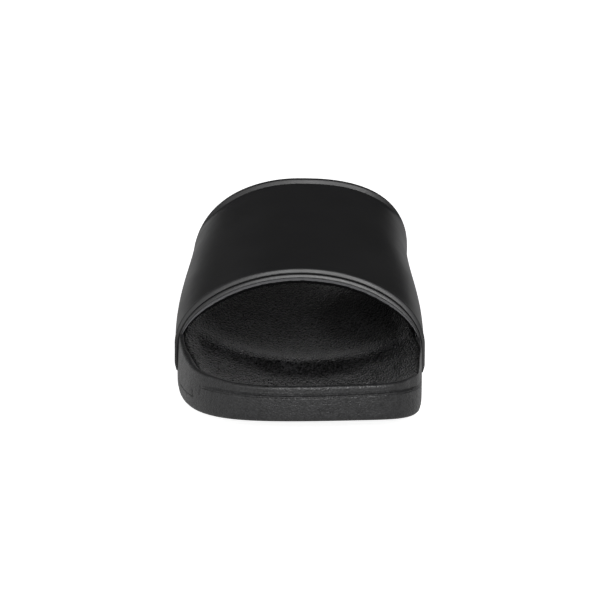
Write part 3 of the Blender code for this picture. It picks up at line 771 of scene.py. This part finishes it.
def make_layer(name, look, thickness_of, depth_of, squareness=2.0, proud=0.0, beaded=False, ragged=None):
    """One layer of the strap: a padded band, thinner at its feet, with rolled edges. A `beaded` layer has
    a bead along both edges, and `ragged` tells how far a frayed one falls short of them."""
    u = strap_rows(STRAP_ROWS)
    thickness, depth = thickness_of(u), depth_of(u)
    length, corner = strap_length(u), corner_inset(u)
    frays = (0.0, 0.0) if ragged is None else (ragged(u, 0), ragged(u, 1))
    over_sole = smooth((np.minimum(u, 1 - u) - 0.1) / 0.1)
    over_top = smooth((np.minimum(u, 1 - u) - 0.18) / 0.18)
    swell = over_top if beaded else 0 * u
    front_tilt = FRONT_FLANK_TILT if beaded else 90
    front_half = edge_profile(thickness, squareness, FRONT_BEAD * beaded, FRONT_CREASE * beaded, front_tilt)
    rear_squareness = 2.0 if beaded else squareness
    rear_tilt = mix(90, REAR_FLANK_TILT, swell)
    rear_half = edge_profile(thickness, rear_squareness, REAR_BEAD * swell, REAR_CREASE * swell, rear_tilt)
    front = [
        (edge + corner + frays[0] - (proud + FRONT_EDGE_SLANT * (deep + depth)) * over_sole, deep)
        for edge, deep in front_half
    ]
    rear = [(length - edge - corner - frays[1], deep) for edge, deep in reversed(rear_half)]
    middle = 1 - (1 - np.linspace(0, 1, STRAP_COLUMNS)[1:-1]) ** 1.5
    outer = [(mix(front[-1][0], rear[0][0], s), 0 * u) for s in middle]
    inner = [(mix(rear[-1][0], front[0][0], s), thickness) for s in middle[::-1]]
    section = [*front, *outer, *rear, *inner]
    places = np.hstack([place / length for place, _ in section])
    depths = np.hstack([np.broadcast_to(deep, u.shape) for _, deep in section])
    # Only the face of the outermost layer sinks towards the feet.
    depths += depth + foot_taper(u) * (1 - depths / thickness) * (depth == 0)
    us = np.broadcast_to(u, places.shape)
    corners = strap_point(us, places) - strap_normal(us, places) * depths[..., None]
    return make_tube(name, corners, look, flat_angle=60)


def frayed(u, edge):
    """Uneven edge of the knit: how far it falls short of the strap's edge (0 the front, 1 the rear)."""
    noise = np.random.default_rng(11 + edge)
    steps = round(KNIT_EDGE_RUN / KNIT_RAGGED_STEP)
    values = noise.uniform(0, 1, steps) ** 2
    return KNIT_RAGGED * np.interp(u, np.linspace(0, 1, steps), values)


def make_pocket(name, look, foot, last):
    """The recess in the sole's side for one foot of the strap, with the clearance round it."""
    u = mix(foot, last, np.linspace(0, 1, POCKET_ROWS) ** 2)[:, None]
    cover = layer_thickness(COVER_TOP_THICKNESS, COVER_END_THICKNESS, u)
    lining = layer_thickness(LINING_TOP_THICKNESS, LINING_END_THICKNESS, u)
    margin = (CLEARANCE - corner_inset(u)) / strap_length(u)
    places = mix(-margin, 1 + margin, np.linspace(0, 1, POCKET_COLUMNS)[None])
    us = np.broadcast_to(u, places.shape)
    face, out = strap_point(us, places), strap_normal(us, places)
    inner = face - out * (cover + CLEARANCE + lining + CLEARANCE)[..., None]
    outer = face + out * POCKET_REACH
    corners = np.concatenate([inner, outer[:, ::-1]], 1)
    corners[0, :, 2] -= CLEARANCE
    return make_tube(name, corners, look)


def hex_colour(code):
    """A colour written as sRGB hex, in linear light."""
    parts = [int(code[i : i + 2], 16) / 255 for i in (1, 3, 5)]
    return (*[p / 12.92 if p <= 0.04045 else ((p + 0.055) / 1.055) ** 2.4 for p in parts], 1.0)


def add(look, kind, inputs=None, **settings):
    """Adds a node with its settings. An input given as a socket is linked, any other is a value."""
    node = look.node_tree.nodes.new(kind)
    for name, value in settings.items():
        setattr(node, name, value)
    for name, value in (inputs or {}).items():
        if isinstance(value, bpy.types.NodeSocket):
            look.node_tree.links.new(value, node.inputs[name])
        else:
            node.inputs[name].default_value = value
    return node


def new_look(name):
    look = bpy.data.materials.new(name)
    look.use_nodes = True
    look.node_tree.nodes.clear()
    return look


def per(size_mm):
    """Texture scale at which one cell measures this many millimetres."""
    return 1000 / size_mm


def place_on(look, stretch=(1.0, 1.0, 1.0)):
    """The object's own coordinates, drawn out along an axis by dividing its scale."""
    where = add(look, "ShaderNodeTexCoord").outputs["Object"]
    scale = tuple(1 / s for s in stretch)
    return add(look, "ShaderNodeMapping", {"Vector": where, "Scale": scale}).outputs["Vector"]


def finish_look(look, tone, dark, light, sockets):
    """Ends a look: `tone` shades it from the dark colour to the light one, and `sockets` holds the
    shader's other inputs."""
    colour = add(
        look,
        "ShaderNodeMix",
        {"Factor": tone, 6: hex_colour(dark), 7: hex_colour(light)},
        data_type="RGBA",
    )
    shader = add(look, "ShaderNodeBsdfPrincipled", {"Base Color": colour.outputs[2], **sockets})
    add(look, "ShaderNodeOutputMaterial", {"Surface": shader.outputs["BSDF"]})
    return look


def moulded_eva_skin():
    """Injection moulded EVA foam: a closed satin skin that copies the etched grain of its mould, so it
    reads as soft charcoal black with a faint mottle and the odd streak where the foam flowed. The real
    grain of 0.3 mm is finer than a pixel and is drawn at 0.65 mm so that it shows."""
    look = new_look("moulded_eva_skin")
    place = place_on(look)
    mottle = add(look, "ShaderNodeTexNoise", {"Vector": place, "Scale": per(2.6), "Detail": 4.0})
    grain = add(look, "ShaderNodeTexNoise", {"Vector": place, "Scale": per(0.7), "Detail": 2.0})
    pits = add(look, "ShaderNodeTexVoronoi", {"Vector": place, "Scale": per(0.65)}, feature="SMOOTH_F1")
    both = add(
        look,
        "ShaderNodeMath",
        {0: mottle.outputs["Fac"], 1: 0.4, 2: grain.outputs["Fac"]},
        operation="MULTIPLY_ADD",
    )
    specks = add(
        look,
        "ShaderNodeMapRange",
        {"Value": both.outputs["Value"], "From Min": 0.55, "From Max": 0.85},
    )
    streak_place = place_on(look, (1.0, 1.0, 12.0))
    streak = add(look, "ShaderNodeTexNoise", {"Vector": streak_place, "Scale": per(1.1), "Detail": 2.0})
    uneven = add(
        look,
        "ShaderNodeMath",
        {0: pits.outputs["Distance"], 1: streak.outputs["Fac"]},
        operation="ADD",
    )
    rough = add(
        look,
        "ShaderNodeMapRange",
        {"Value": uneven.outputs["Value"], "From Min": 0.4, "From Max": 1.1, "To Min": 0.2, "To Max": 0.5},
    )
    relief = add(
        look,
        "ShaderNodeMath",
        {0: streak.outputs["Fac"], 1: 0.3, 2: pits.outputs["Distance"]},
        operation="MULTIPLY_ADD",
    )
    bump = add(look, "ShaderNodeBump", {"Height": relief.outputs["Value"], "Distance": 0.2 * MM})
    sockets = {"Roughness": rough.outputs["Result"], "IOR": 1.49, "Normal": bump.outputs["Normal"]}
    return finish_look(look, specks.outputs["Result"], "#0c0c0d", "#242425", sockets)


def pebbled_footbed_foam():
    """Die-cut EVA footbed with a pebbled face, so that bare feet don't slip: its gloss is weak and shows
    at a low angle, where the pebbles break it into small specks. The real ones of 0.6 mm are drawn a
    little wider and nearly three times as long, so that they show at the camera's low angle."""
    look = new_look("pebbled_footbed_foam")
    place = place_on(look)
    grain_place = place_on(look, (1.0, 2.8, 1.0))
    pebble = add(
        look,
        "ShaderNodeTexVoronoi",
        {"Vector": grain_place, "Scale": per(0.75)},
        feature="SMOOTH_F1",
    )
    fine = add(look, "ShaderNodeTexNoise", {"Vector": grain_place, "Scale": per(0.7), "Detail": 1.0})
    wide = add(look, "ShaderNodeTexNoise", {"Vector": place, "Scale": per(14), "Detail": 3.0})
    both = add(
        look,
        "ShaderNodeMath",
        {0: wide.outputs["Fac"], 1: 0.3, 2: fine.outputs["Fac"]},
        operation="MULTIPLY_ADD",
    )
    specks = add(
        look,
        "ShaderNodeMapRange",
        {"Value": both.outputs["Value"], "From Min": 0.6, "From Max": 0.82},
    )
    rough = add(
        look,
        "ShaderNodeMapRange",
        {"Value": fine.outputs["Fac"], "From Min": 0.3, "From Max": 0.7, "To Min": 0.26, "To Max": 0.38},
    )
    relief = add(
        look,
        "ShaderNodeMath",
        {0: pebble.outputs["Distance"], 1: -1.0, 2: fine.outputs["Fac"]},
        operation="MULTIPLY_ADD",
    )
    bump = add(look, "ShaderNodeBump", {"Height": relief.outputs["Value"], "Distance": 0.45 * MM})
    sockets = {"Roughness": rough.outputs["Result"], "IOR": 1.34, "Normal": bump.outputs["Normal"]}
    return finish_look(look, specks.outputs["Result"], "#020202", "#2c2c2d", sockets)


def coated_strap_skin():
    """Polyurethane film on a textile backing: a smooth satin black whose film follows the soft padding
    below, so its wide highlights waver a little and its edges catch a bright line. Its faint grain of
    0.3 mm is drawn at 0.7 mm so that it shows."""
    look = new_look("coated_strap_skin")
    place = place_on(look)
    grain = add(look, "ShaderNodeTexNoise", {"Vector": place, "Scale": per(0.7), "Detail": 3.0})
    swell = add(look, "ShaderNodeTexNoise", {"Vector": place, "Scale": per(11), "Detail": 2.0})
    cloud = add(look, "ShaderNodeTexNoise", {"Vector": place, "Scale": per(22), "Detail": 4.0})
    rough = add(
        look,
        "ShaderNodeMapRange",
        {"Value": cloud.outputs["Fac"], "From Min": 0.3, "From Max": 0.7, "To Min": 0.38, "To Max": 0.48},
    )
    soft = add(
        look,
        "ShaderNodeBump",
        {"Height": swell.outputs["Fac"], "Strength": 0.25, "Distance": 0.5 * MM},
    )
    bump = add(
        look,
        "ShaderNodeBump",
        {
            "Height": grain.outputs["Fac"],
            "Strength": 0.35,
            "Distance": 0.05 * MM,
            "Normal": soft.outputs["Normal"],
        },
    )
    sockets = {"Roughness": rough.outputs["Result"], "IOR": 1.5, "Normal": bump.outputs["Normal"]}
    return finish_look(look, cloud.outputs["Fac"], "#141415", "#19191a", sockets)


def turned_film_edge():
    """The strap's film turned round the padding: it is stretched thinner there, so a little glossier. Its
    grain is drawn coarser, as on the strap's face."""
    look = new_look("turned_film_edge")
    place = place_on(look)
    grain = add(look, "ShaderNodeTexNoise", {"Vector": place, "Scale": per(0.8), "Detail": 3.0})
    rough = add(
        look,
        "ShaderNodeMapRange",
        {"Value": grain.outputs["Fac"], "From Min": 0.3, "From Max": 0.7, "To Min": 0.34, "To Max": 0.44},
    )
    bump = add(
        look,
        "ShaderNodeBump",
        {"Height": grain.outputs["Fac"], "Strength": 0.5, "Distance": 0.06 * MM},
    )
    sockets = {"Roughness": rough.outputs["Result"], "IOR": 1.5, "Normal": bump.outputs["Normal"]}
    return finish_look(look, grain.outputs["Fac"], "#101011", "#161617", sockets)


def knitted_lining(name, dark, light, gloss, bloom):
    """Brushed polyester tricot: rows of tiny loops with a raised nap, dull, with a pale bloom where the
    nap is seen from the side. Its ribs of 0.4 mm are drawn 0.9 mm wide and its finer nap at 0.7 mm, so
    that they show. `dark` and `light` carry painted light: the strap uses it once pale, as painted light
    on the lit fold of the lining's front edge, and once near black, as painted shade for the shadow line
    under that edge."""
    look = new_look(name)
    place = place_on(look)
    # At scale 1 the wave turns by 20 radians a metre, and a rib is half a full turn.
    rib_scale = per(0.9) / 20 * math.pi
    rib = add(
        look,
        "ShaderNodeTexWave",
        {"Vector": place, "Scale": rib_scale, "Distortion": 1.2, "Detail": 2.0},
        bands_direction="Y",
    )
    nap = add(look, "ShaderNodeTexNoise", {"Vector": place, "Scale": per(0.7), "Detail": 4.0})
    relief = add(
        look,
        "ShaderNodeMath",
        {0: nap.outputs["Fac"], 1: 1.4, 2: rib.outputs["Fac"]},
        operation="MULTIPLY_ADD",
    )
    bump = add(
        look,
        "ShaderNodeBump",
        {"Height": relief.outputs["Value"], "Strength": 0.7, "Distance": 0.2 * MM},
    )
    sockets = {
        "Roughness": 0.9,
        "IOR": 1.45,
        "Specular IOR Level": gloss,
        "Sheen Weight": bloom,
        "Sheen Roughness": 0.5,
        "Sheen Tint": hex_colour("#9a9a9c"),
        "Normal": bump.outputs["Normal"],
    }
    return finish_look(look, nap.outputs["Fac"], dark, light, sockets)


def cover_thickness(u):
    return layer_thickness(COVER_TOP_THICKNESS, COVER_END_THICKNESS, u)


def lining_share(share, u):
    """Thickness of a layer that takes this share of the lining, less half the gap on each side."""
    return share * layer_thickness(LINING_TOP_THICKNESS, LINING_END_THICKNESS, u) - LAYER_GAP


def padding_thickness(u):
    return lining_share(PADDING_SHARE, u)


def knit_thickness(u):
    return lining_share(KNIT_SHARE, u)


def backing_thickness(u):
    return lining_share(1 - PADDING_SHARE - KNIT_SHARE, u)


def at_face(u):
    return 0.0


def under_cover(u):
    return cover_thickness(u) + LAYER_GAP


def under_padding(u):
    return under_cover(u) + padding_thickness(u) + LAYER_GAP


def under_knit(u):
    return under_padding(u) + knit_thickness(u) + LAYER_GAP


def dress_part():
    sole = make_sole(moulded_eva_skin())
    footbed = make_footbed(pebbled_footbed_foam())
    skin = make_layer(
        "strap_skin",
        coated_strap_skin(),
        cover_thickness,
        at_face,
        squareness=ROLL_SQUARENESS,
        beaded=True,
    )
    padding = make_layer(
        "strap_padding",
        turned_film_edge(),
        padding_thickness,
        under_cover,
        squareness=ROLL_SQUARENESS,
        proud=PADDING_PROUD,
    )
    # The knit is the fold of the lining along the strap's front edge; its pale grey and strong sheen are
    # painted light, standing for where that fold catches the light.
    knit = make_layer(
        "strap_knit",
        knitted_lining("knit_edge_painted_light", "#39393a", "#5a5a5c", 0.5, 0.35),
        knit_thickness,
        under_padding,
        squareness=KNIT_SQUARENESS,
        proud=KNIT_PROUD,
        ragged=frayed,
    )
    # The backing is the tricot that lies against the foot; its near-black colour with almost no sheen is
    # painted shade, standing for the shadow line under the knit's edge.
    backing = make_layer(
        "strap_backing",
        knitted_lining("tricot_lining_painted_shade", "#020202", "#09090a", 0.05, 0.02),
        backing_thickness,
        under_knit,
        proud=BACKING_PROUD,
        ragged=frayed,
    )
    for piece, node, slot in (
        (sole, "sole", "sole_foam"),
        (footbed, "footbed", "footbed_foam"),
        (skin, "strap_cover", "strap_skin"),
        (padding, "strap_lining", "strap_skin"),
        (knit, "strap_lining", "lining_knit"),
        (backing, "strap_lining", "lining_knit"),
    ):
        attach(piece, "root")
        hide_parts(node)


# Studio, in metres and degrees. The camera's lens and sensor are in millimetres.
CAMERA_DISTANCE = 0.95
CAMERA_ELEVATION = 14.5
CAMERA_TARGET = (0.0, -0.0403, 0.0321)
CAMERA_LENS = 127.04
CAMERA_SENSOR = 36
CAMERA_NEAR = 0.05
FLOOR_RADIUS = 3.0
FLOOR_SIDES = 96
COVE_HEIGHT = 0.6
LIGHTS_AIM = Vector((0.0, -0.05, 0.03))
LIGHTS_DISTANCE = 1.0

# Brightness of the walls and ceiling in front of the shoe and behind it, at degrees above the floor
SKY_FRONT = ((-90, 0.65), (0, 0.65), (2, 1.0), (10, 1.0), (16, 0.42), (50, 0.42), (62, 0.1), (90, 0.1))
SKY_BACK = ((-90, 0.45), (0, 0.55), (2, 0.85), (6, 0.9), (8, 0.035), (50, 0.07), (90, 0.1))


def make_floor():
    """A wide pale table that curves up at its rim and is lit from below: its even glow outshines the
    shoe's shadow, and none of it reaches the shoe."""
    look = new_look("pale_studio_floor")
    place = place_on(look)
    cloud = add(look, "ShaderNodeTexNoise", {"Vector": place, "Scale": 1.5, "Detail": 2.0})
    sockets = {
        "Roughness": 0.9,
        "Specular IOR Level": 0.1,
        "Emission Color": hex_colour("#ffffff"),
        "Emission Strength": 0.9,
    }
    finish_look(look, cloud.outputs["Fac"], "#f4f4f4", "#f8f8f8", sockets)
    turn = np.linspace(0, 2 * np.pi, FLOOR_SIDES, endpoint=False)
    rim = (
        (0.05, 0.0),
        (1.0, 0.0),
        (FLOOR_RADIUS - 0.4, 0.0),
        (FLOOR_RADIUS - 0.1, 0.1),
        (FLOOR_RADIUS, COVE_HEIGHT),
    )
    rows = [
        np.stack([radius * np.cos(turn), radius * np.sin(turn), np.full(FLOOR_SIDES, high)], 1)
        for radius, high in rim
    ]
    numbers = np.arange(len(rim) * FLOOR_SIDES).reshape(-1, FLOOR_SIDES)
    floor = make_piece("studio_floor", np.vstack(rows), band_faces(numbers) + [numbers[0].tolist()], look)
    floor.visible_diffuse = floor.visible_glossy = False


def make_softbox(name, around, up, size, power):
    """A softbox on a stand, facing the shoe. `around` is in degrees from the toe towards the medial
    side, `up` in degrees above the floor, `size` in metres and `power` in watts."""
    light = bpy.data.lights.new(name, "AREA")
    light.shape = "RECTANGLE"
    light.size, light.size_y = size
    light.energy = power
    item = bpy.data.objects.new(name, light)
    bpy.context.scene.collection.objects.link(item)
    turn, tilt = math.radians(around), math.radians(up)
    away = Vector((math.sin(turn) * math.cos(tilt), -math.cos(turn) * math.cos(tilt), math.sin(tilt)))
    item.location = LIGHTS_AIM + away * LIGHTS_DISTANCE
    item.rotation_euler = (-away).to_track_quat("-Z", "Y").to_euler()
    item.visible_camera = False


def make_sky():
    """Pale walls in front of the shoe and beside it, dark ones with a pale foot behind it, and a dark
    ceiling."""
    world = bpy.data.worlds.new("studio_air")
    bpy.context.scene.world = world
    world.use_nodes = True
    world.node_tree.nodes.clear()
    where = add(world, "ShaderNodeTexCoord").outputs["Generated"]
    parts = add(world, "ShaderNodeSeparateXYZ", {"Vector": where})
    back = add(
        world,
        "ShaderNodeMapRange",
        {"Value": parts.outputs["Y"], "From Min": 0.1, "From Max": 0.65},
        interpolation_type="SMOOTHSTEP",
    )
    heights = add(world, "ShaderNodeMapRange", {"Value": parts.outputs["Z"], "From Min": -1.0})
    shades = []
    for profile in (SKY_FRONT, SKY_BACK):
        bands = add(world, "ShaderNodeValToRGB", {"Fac": heights.outputs["Result"]})
        stops = bands.color_ramp.elements
        for stop, (_, level) in zip(stops, (profile[0], profile[-1])):
            stop.color = (level, level, level, 1.0)
        for up, level in profile[1:-1]:
            stops.new((math.sin(math.radians(up)) + 1) / 2).color = (level, level, level, 1.0)
        shades.append(bands.outputs["Color"])
    shade = add(
        world,
        "ShaderNodeMix",
        {"Factor": back.outputs["Result"], 6: shades[0], 7: shades[1]},
        data_type="RGBA",
    )
    air = add(world, "ShaderNodeBackground", {"Color": shade.outputs[2]})
    add(world, "ShaderNodeOutputWorld", {"Surface": air.outputs["Background"]})


def make_camera():
    camera = bpy.data.objects.new("camera", bpy.data.cameras.new("camera"))
    bpy.context.scene.collection.objects.link(camera)
    tilt = math.radians(CAMERA_ELEVATION)
    away = Vector((0, -math.cos(tilt), math.sin(tilt)))
    camera.location = Vector(CAMERA_TARGET) + away * CAMERA_DISTANCE
    camera.rotation_euler = (-away).to_track_quat("-Z", "Y").to_euler()
    camera.data.lens = CAMERA_LENS
    camera.data.sensor_width = CAMERA_SENSOR
    camera.data.clip_start = CAMERA_NEAR
    bpy.context.scene.camera = camera


def make_studio():
    make_floor()
    make_sky()
    make_softbox("front_softbox", 6, 27, (0.4, 0.32), 6.9)
    make_softbox("left_softbox", -50, 16, (0.45, 0.3), 1.3)
    make_softbox("right_softbox", 50, 34, (0.45, 0.26), 0.7)
    make_softbox("side_softbox", -112, 38, (0.6, 0.6), 0.6)
    make_softbox("back_softbox", 180, 5, (0.45, 0.08), 0.06)
    make_camera()
    bpy.context.scene.view_settings.view_transform = "Standard"


dress_part()
make_studio()
